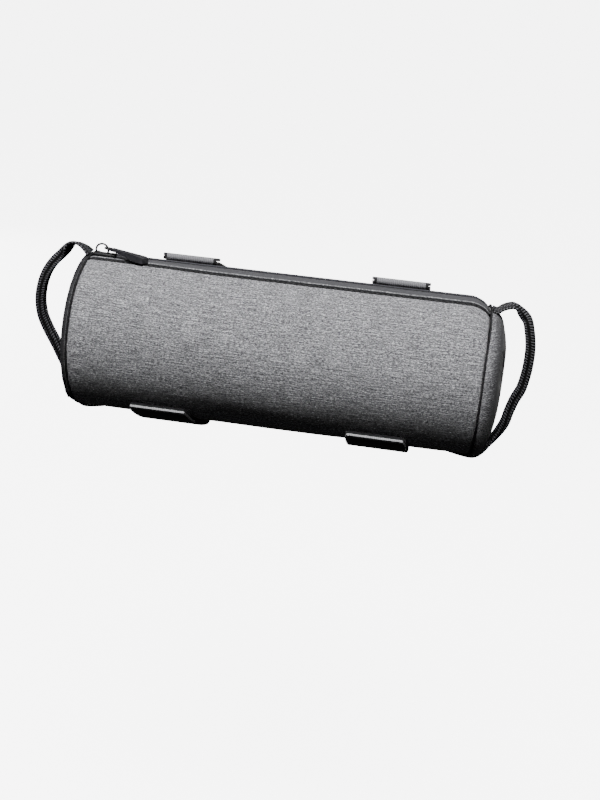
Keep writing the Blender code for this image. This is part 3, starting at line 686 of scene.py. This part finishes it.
def make_loop(side, name, table, top, material):
    """A webbing loop folded along its middle, with the crease outermost."""
    seam = bag_point(side * HALF_LENGTH, 90.0, BAG_RADIUS).z - BAG_AXIS.z
    highest = max(range(len(table)), key=lambda index: table[index][1])
    path = []
    for index, (out, up, fold, lean) in enumerate(table):
        height = seam + (top - seam) * up if index < highest else (
            (top if up > 0.0 else BAG_RADIUS) * up)
        path.append((side * (HALF_LENGTH + LOOP_REACH * out), height, fold, lean))
    path = curve_through(path, 132)
    places = [Vector((x, 0, z)) for x, z, _, _ in path]
    leg = (WEBBING_WIDTH - WEBBING_CREASE) / 2
    rows, marks, length = [], [], 0.0
    for k, (_, _, fold, lean) in enumerate(path):
        if k:
            length += (places[k] - places[k - 1]).length
        ahead = places[min(k + 1, len(places) - 1)] - places[max(k - 1, 0)]
        ahead.normalize()
        inward = Vector((-ahead.z, 0, ahead.x)) * -side
        turn = math.radians(90.0) * min(max(fold, 0.0), 1.0)
        row = []
        for share in (1.0, 0.8, 0.6, 0.4, 0.2, 0.0):
            reach = leg * share
            row.append((Vector((-(WEBBING_CREASE / 2 + reach * math.cos(turn)),
                                reach * math.sin(turn))), -(WEBBING_CREASE / 2 + reach)))
        row += [(Vector((-spot.x, spot.y)), -mark) for spot, mark in reversed(row)]
        swing = Matrix.Rotation(math.radians(lean), 2)
        turned = [(swing @ spot, mark) for spot, mark in row]
        rows.append([BAG_AXIS + places[k] + Vector((0, spot.x, 0)) + inward * spot.y
                     for spot, _ in turned][::side])
        marks.append([(mark, length) for _, mark in turned][::side])
    item = lofted(name, rows, marks, material)
    refine(item)
    wall(item, WEBBING_THICKNESS, -1.0)
    return item


def arc(centre, radius, start, end, step=3.0):
    count = max(int(math.ceil(abs(end - start) / step)), 1)
    turns = [math.radians(start + (end - start) * k / count) for k in range(count + 1)]
    return [(centre[0] + radius * math.cos(t), centre[1] + radius * math.sin(t))
            for t in turns]


def fold_arc(angle, direction):
    """The half circle from the strap's inner layer round to its outer one."""
    turn, middle = math.radians(angle), (INNER_LAYER + OUTER_LAYER) / 2
    centre = (BAG_AXIS.y + middle * math.cos(turn), BAG_AXIS.z + middle * math.sin(turn))
    return arc(centre, (OUTER_LAYER - INNER_LAYER) / 2, angle + direction * 180.0, angle,
               15.0)[1:-1]


def tangent_angle(on_bag, on_highlight, upper):
    lean = math.degrees(math.atan2(-BAG_AXIS.z, -BAG_AXIS.y))
    opened = math.degrees(math.acos((on_bag - on_highlight) / AXIS_DISTANCE))
    return lean + opened if upper else lean - opened


def strap_band(name, path, centres, fold_at, material):
    """A strap along the path, rounded at the corners of its fold."""
    lengths = [0.0]
    for (y0, z0), (y1, z1) in zip(path, path[1:]):
        lengths.append(lengths[-1] + math.hypot(y1 - y0, z1 - z0))
    rows, marks = [], []
    for (y, z), x, far in zip(path, centres, lengths):
        from_fold = abs(far - lengths[fold_at])
        half = STRAP_WIDTH / 2 - 0.0012 * (1 - ease(from_fold / 0.004))
        shares = [-1 + 2 * k / 14 for k in range(15)]
        rows.append([Vector((x + half * s, y, z)) for s in shares])
        marks.append([(half * s, far - lengths[fold_at]) for s in shares])
    item = lofted(name, rows, marks, material)
    wall(item, STRAP_THICKNESS, 0.0)
    rounded = item.modifiers.new("Rounded edges", "BEVEL")
    rounded.width = 0.0004
    rounded.segments = 2
    rounded.limit_method = "ANGLE"
    rounded.angle_limit = math.radians(50)
    return item


def make_upper_strap(side, name, material):
    """Folded over at its sewn end behind the zip, then back over the bar."""
    leave = tangent_angle(INNER_LAYER, ON_BAR_INNER, True)
    tail = arc(BAG_CENTRE, OUTER_LAYER, UPPER_TAIL, UPPER_FOLD)
    nose = fold_arc(UPPER_FOLD, 1.0)[::-1]
    path = tail + nose + arc(BAG_CENTRE, INNER_LAYER, UPPER_FOLD, leave)
    path += arc((0.0, 0.0), ON_BAR_INNER, leave, UPPER_FREE, 6.0)
    middle = side * STRAP_SPACING / 2
    return strap_band(name, path, [middle] * len(path), len(tail) + len(nose) // 2, material)


def make_lower_strap(side, name, skew, material):
    """Folded over low at the front, then under the bag and up behind the bar."""
    leave = tangent_angle(INNER_LAYER, ON_BAR_OUTER, False)
    tail = arc(BAG_CENTRE, INNER_LAYER, LOWER_TAIL, LOWER_FOLD)
    nose = fold_arc(LOWER_FOLD, -1.0)
    back = arc(BAG_CENTRE, OUTER_LAYER, LOWER_FOLD, LOWER_TAIL)
    settle_down = []
    for k in range(1, 8):
        share = k / 7
        radius = OUTER_LAYER + (INNER_LAYER - OUTER_LAYER) * ease(share)
        angle = LOWER_TAIL + (LOWER_SINGLE - LOWER_TAIL) * share
        settle_down += arc(BAG_CENTRE, radius, angle, angle)[:1]
    rest = arc(BAG_CENTRE, INNER_LAYER, LOWER_SINGLE, leave)[1:]
    rest += arc((0.0, 0.0), ON_BAR_OUTER, leave, LOWER_FREE, 6.0)
    path = tail + nose + back + settle_down + rest
    middle = side * STRAP_SPACING / 2
    at_fold, at_belly = (share * STRAP_WIDTH for share in skew)
    shifts = [at_belly + (at_fold - at_belly) * k / (len(tail) - 1) for k in range(len(tail))]
    shifts += [at_fold] * len(nose)
    shifts += [at_fold + (at_belly - at_fold) * k / (len(back) - 1) for k in range(len(back))]
    shifts += [at_belly] * len(settle_down)
    shifts += [at_belly * (1 - ease((k + 1) / len(rest))) for k in range(len(rest))]
    return strap_band(name, path, [middle + s for s in shifts], len(tail) + len(nose) // 2,
                      material)


def make_stitches(name, start, end, pitch, material):
    """The sewing thread: short stitches lying in the groove beside the front fold."""
    form = bmesh.new()
    count, sides, rings = int((end - start) / pitch), 6, 6
    for n in range(count):
        loops = []
        for k in range(rings + 1):
            share = k / rings
            x = start + pitch * (n + 0.04 + 0.92 * share)
            angle = 90.0 + front_half_angle(x) + math.degrees(STITCH_LINE / BAG_RADIUS)
            rise = -0.0011 + 0.0006 * math.sin(math.pi * share) ** 0.6
            place = (x, angle, BAG_RADIUS)
            out = bag_normal(*place)
            centre = bag_point(*place) + out * rise
            ahead = (bag_point(x + 0.0002, angle, BAG_RADIUS)
                     - bag_point(x - 0.0002, angle, BAG_RADIUS)).normalized()
            across = ahead.cross(out)
            tapered = max(math.sin(math.pi * (0.08 + 0.84 * share)) ** 0.4, 0.3)
            thick = THREAD_RADIUS * tapered
            loops.append([form.verts.new(centre + (out * math.cos(2 * math.pi * s / sides)
                          + across * math.sin(2 * math.pi * s / sides)) * thick)
                          for s in range(sides)])
        for first, second in zip(loops, loops[1:]):
            for s in range(sides):
                t = (s + 1) % sides
                form.faces.new((first[s], first[t], second[t], second[s])).smooth = True
        form.faces.new(loops[0][::-1])
        form.faces.new(loops[-1])
    bmesh.ops.recalc_face_normals(form, faces=form.faces[:])
    mesh = bpy.data.meshes.new(name)
    form.to_mesh(mesh)
    form.free()
    item = bpy.data.objects.new(name, mesh)
    bpy.context.scene.collection.objects.link(item)
    mesh.materials.append(material)
    return item


def start_part(name, adder, **options):
    """Adds a primitive as the start of a hard piece, with nothing else selected."""
    bpy.ops.object.select_all(action="DESELECT")
    adder(**options)
    item = bpy.context.object
    item.name = item.data.name = name
    return item


def settle(item, material, matrix=None):
    """Puts a finished hard piece's place into its mesh, smooths and paints it."""
    if matrix is not None:
        item.matrix_world = matrix @ item.matrix_world
    bpy.ops.object.select_all(action="DESELECT")
    item.select_set(True)
    bpy.context.view_layer.objects.active = item
    bpy.ops.object.transform_apply(location=True, rotation=True, scale=True)
    bpy.ops.object.shade_smooth_by_angle(angle=math.radians(35))
    item.data.materials.clear()
    item.data.materials.append(material)


def pick_faces(item, test):
    """In edit mode, selects just the faces that pass the test."""
    bpy.ops.object.mode_set(mode="OBJECT")
    for poly in item.data.polygons:
        poly.select = test(poly)
    chosen = {v for poly in item.data.polygons if poly.select for v in poly.vertices}
    for vert in item.data.vertices:
        vert.select = vert.index in chosen
    for edge in item.data.edges:
        edge.select = all(v in chosen for v in edge.vertices)
    bpy.ops.object.mode_set(mode="EDIT")


def make_slider(material):
    """The slider's two plates and the neck between them, and its bail."""
    plates = []
    for name, height, thick in (("slider_top", TOP_PLATE_HEIGHT, TOP_PLATE_THICKNESS),
                                ("slider_bottom", BOTTOM_PLATE_HEIGHT,
                                 BOTTOM_PLATE_THICKNESS)):
        plate = start_part(name, bpy.ops.mesh.primitive_cube_add, size=1.0)
        plate.scale = (SLIDER_LENGTH, SLIDER_WIDTH, thick)
        plate.location = BAG_AXIS + Vector((SLIDER_X, 0, height))
        bpy.ops.object.transform_apply(location=True, rotation=True, scale=True)
        bpy.ops.object.mode_set(mode="EDIT")
        pick_faces(plate, lambda poly: poly.normal.x > 0.9)
        bpy.ops.transform.resize(value=(1, 0.72, 0.8))
        pick_faces(plate, lambda poly: poly.normal.x < -0.9)
        bpy.ops.transform.resize(value=(1, 0.62, 0.85))
        bpy.ops.mesh.select_all(action="SELECT")
        bpy.ops.mesh.bevel(offset=0.0006, segments=3)
        bpy.ops.object.mode_set(mode="OBJECT")
        settle(plate, material)
        plates.append(plate)
    bail = start_part("slider_bail", bpy.ops.mesh.primitive_torus_add,
                      major_radius=BAIL_RADIUS, minor_radius=BAIL_WIRE, major_segments=40,
                      minor_segments=12, rotation=(math.pi / 2, 0, 0), location=BAIL_CENTRE)
    bpy.ops.object.transform_apply(location=True, rotation=True, scale=True)
    bpy.ops.object.mode_set(mode="EDIT")
    bpy.ops.mesh.select_all(action="SELECT")
    bpy.ops.mesh.bisect(plane_co=BAIL_CENTRE, plane_no=(0, 0, 1), clear_inner=True,
                        use_fill=True)
    bpy.ops.mesh.extrude_region_move(TRANSFORM_OT_translate={"value": (0, 0, -BAIL_LEG)})
    bpy.ops.object.mode_set(mode="OBJECT")
    settle(bail, material)
    neck = start_part("slider_neck", bpy.ops.mesh.primitive_cube_add, size=1.0)
    neck.scale = (POST_LENGTH, POST_WIDTH, POST_DEPTH)
    neck.location = BAG_AXIS + Vector((POST_X, 0, POST_HEIGHT))
    bpy.ops.object.transform_apply(location=True, rotation=True, scale=True)
    bpy.ops.object.mode_set(mode="EDIT")
    bpy.ops.mesh.select_all(action="SELECT")
    bpy.ops.mesh.bevel(offset=0.0003, segments=2)
    bpy.ops.object.mode_set(mode="OBJECT")
    settle(neck, material)
    return plates + [bail, neck]


def make_pull(material, eye_material):
    """The moulded tab: flat on top, thick and rounded at its free end."""
    lift = math.radians(TAB_LIFT)
    crossing = Vector((BAIL_RADIUS * math.cos(lift), 0, BAIL_RADIUS * math.sin(lift)))
    lie = (Matrix.Translation(BAIL_CENTRE + crossing)
           @ Matrix.Rotation(math.radians(TAB_YAW), 4, "Z")
           @ Matrix.Rotation(math.radians(TAB_PITCH), 4, "Y")
           @ Matrix.Rotation(math.radians(TAB_ROLL), 4, "X"))
    tab = start_part("pull_tab", bpy.ops.mesh.primitive_cube_add, size=1.0)
    bpy.ops.object.mode_set(mode="EDIT")
    bpy.ops.mesh.select_all(action="SELECT")
    bpy.ops.mesh.subdivide(number_cuts=11)
    bpy.ops.object.mode_set(mode="OBJECT")
    for vert in tab.data.vertices:
        share = vert.co.x + 0.5
        wide = TAB_WIDTH + TAB_FLARE * share
        thick = TAB_THICKNESS + TAB_SWELL * ease((share - 0.15) / 0.75)
        round_end = math.sqrt(max(1 - ((share - 0.86) / 0.15) ** 2, 0.0)) if share > 0.86 else 1
        across = vert.co.y * wide * (0.6 + 0.4 * round_end)
        rounded_off = 0.0009 * (1 - round_end) * (vert.co.z + 0.5)
        up = TAB_TOP - thick * (0.5 - vert.co.z) - rounded_off
        vert.co = Vector((TAB_START + share * TAB_LENGTH, across, up))
    rounded = tab.modifiers.new("Rounded edges", "BEVEL")
    rounded.width = 0.0006
    rounded.segments = 3
    rounded.limit_method = "ANGLE"
    rounded.angle_limit = math.radians(40)
    bpy.ops.object.modifier_apply(modifier=rounded.name)
    settle(tab, material, lie)
    eye = start_part("pull_eye", bpy.ops.mesh.primitive_torus_add, major_radius=EYE_RADIUS,
                     minor_radius=EYE_WIRE, major_segments=32, minor_segments=10)
    settle(eye, eye_material, lie @ Matrix.Translation((EYE_X, 0, 0)))
    return tab, eye


def make_floor():
    """A plain pale floor, well below the bag, and a pale wall far off all round it,
    which throw no light back at the bag."""
    material, tree, shader = surface("pale_matt_studio", roughness=0.9,
                                     emission_color=linear("#ffffff"),
                                     emission_strength=6.0)
    place = add(tree, "ShaderNodeTexCoord").node.outputs["Object"]
    cloud = add(tree, "ShaderNodeTexNoise", {"Vector": place, "Scale": 1 / 0.6})
    tone = add(tree, "ShaderNodeValToRGB", {"Fac": cloud}, ((0.3, "#f4f4f4"), (0.7, "#f8f8f8")))
    tree.links.new(tone, shader.inputs["Base Color"])
    floor = start_part("floor", bpy.ops.mesh.primitive_plane_add, size=16.0,
                       location=(0, 0, FLOOR_HEIGHT))
    far_wall = start_part("far_wall", bpy.ops.mesh.primitive_cylinder_add,
                          radius=STUDIO_RADIUS, depth=6.0, vertices=96,
                          end_fill_type="NOTHING", location=(0, 0, 2.5))
    for item in (floor, far_wall):
        item.visible_diffuse = item.visible_glossy = item.visible_shadow = False
        item.data.materials.append(material)


def make_sky():
    """Faint soft light from above, fading to near dark below the horizon."""
    world = bpy.data.worlds.new("studio")
    bpy.context.scene.world = world
    world.use_nodes = True
    tree = world.node_tree
    place = add(tree, "ShaderNodeTexCoord").node.outputs["Generated"]
    height = add(tree, "ShaderNodeSeparateXYZ", {"Vector": place}).node.outputs[2]
    share = add(tree, "ShaderNodeMapRange", {"Value": height, 1: -0.1, 2: 0.5})
    tone = add(tree, "ShaderNodeValToRGB", {"Fac": share}, ((0.0, "#505050"), (1.0, "#ffffff")))
    tree.links.new(tone, tree.nodes["Background"].inputs["Color"])
    tree.nodes["Background"].inputs["Strength"].default_value = 0.15


place_camera()
area_light("key_light", (-0.05, -1.0, 1.6), LIGHTS_AIM, size=0.9, power=66)
area_light("top_light", (-0.1, 0.3, 1.7), LIGHTS_AIM, size=0.9, power=8)
area_light("back_light", (-1.35, 1.45, 0.15), LIGHTS_AIM, size=1.0, power=18)
make_sky()
make_floor()

panel_cloth = melange_polyester("melange_polyester_panel")
left_cloth = melange_polyester("melange_polyester_left_end", LEFT_SHADE_FROM, LEFT_SHADE_TO)
right_cloth = melange_polyester("melange_polyester_right_end", RIGHT_SHADE_FROM,
                                RIGHT_SHADE_TO)
lining = plain_lining()
webbing = ribbed_nylon("ribbed_nylon_webbing", "#050506", "#616166", pitch=0.0016, slant=0.5)
cord = ribbed_nylon("twisted_piping_cord", "#060607", "#1c1c1f", pitch=0.0011, slant=0.8)
# the pale colours below are painted highlight along the edges of the straps' folds
top_strap = strap_tape("loop_tape_upper", ("#626266", "#8c8c90"), highlight_half=0.0020,
                       highlight_shift=0.0, bare_end=0.0030, rib_run=0.008)
low_strap = strap_tape("hook_tape_lower", ("#b4b4b8", "#e2e2e4"), highlight_half=0.0003,
                       highlight_shift=0.0006, bare_end=0.0010, rib_run=0.006)
tape = woven_zip_tape()
# Spun polyester thread: dull black and faintly fuzzy
thread = small_finish("polyester_sewing_thread", "#060607", "#121214", rough=0.6,
                      grain=0.0003)
# Cast zinc under black lacquer: near black, with a broad dull gleam and no mirror
lacquer = small_finish("black_lacquered_zinc", "#0a0a0b", "#141416", rough=0.55)
# Moulded rubbery plastic: very dark grey and satin, with a thin glossy skin
rubber = small_finish("moulded_black_rubber", "#232326", "#303034", rough=0.42, coat=0.3)
# Nylon coil: black, smooth and satin
nylon = small_finish("black_nylon_teeth", "#101011", "#202022", rough=0.42)

made = {
    "main_panel": (make_panel(panel_cloth, lining), "melange_cloth"),
    "end_cap_left": (make_cap(-1, "cap_cloth_left", LEFT_BULGE, LEFT_FULLNESS, left_cloth,
                              lining), "melange_cloth"),
    "end_cap_right": (make_cap(1, "cap_cloth_right", RIGHT_BULGE, RIGHT_FULLNESS,
                               right_cloth, lining), "melange_cloth"),
    "rim_piping_left": (make_piping(-1, "piping_cord_left", cord), "piping"),
    "rim_piping_right": (make_piping(1, "piping_cord_right", cord), "piping"),
    "zip_tape_front": (make_tape(1, "tape_front", tape), "zip_tape"),
    "zip_tape_rear": (make_tape(-1, "tape_rear", tape), "zip_tape"),
    "end_loop_left": (make_loop(-1, "webbing_left", LOOP_LEFT, LOOP_TOP["left"], webbing),
                      "webbing"),
    "end_loop_right": (make_loop(1, "webbing_right", LOOP_RIGHT, LOOP_TOP["right"], webbing),
                       "webbing"),
    "upper_strap_left": (make_upper_strap(-1, "loop_tape_left", top_strap), "loop_strap"),
    "upper_strap_right": (make_upper_strap(1, "loop_tape_right", top_strap), "loop_strap"),
    "lower_strap_left": (make_lower_strap(-1, "hook_tape_left", LOWER_SKEW["left"], low_strap),
                         "hook_strap"),
    "lower_strap_right": (make_lower_strap(1, "hook_tape_right", LOWER_SKEW["right"],
                                           low_strap), "hook_strap"),
}
for node_name, (piece, slot_name) in made.items():
    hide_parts(node_name)
    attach(piece, "bag")

slider_parts = make_slider(lacquer)
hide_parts("zip_slider")
for piece in slider_parts:
    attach(piece, "bag")
pull_tab, pull_eye = make_pull(rubber, lacquer)
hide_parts("zip_pull")
for piece in (pull_tab, pull_eye):
    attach(piece, "puller")

stitches = make_stitches("stitches_front", STITCH_FROM, STITCH_TO, STITCH_PITCH, thread)
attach(stitches, "bag")

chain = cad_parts["zip_chain"]
chain.data.materials.clear()
chain.data.materials.append(nylon)
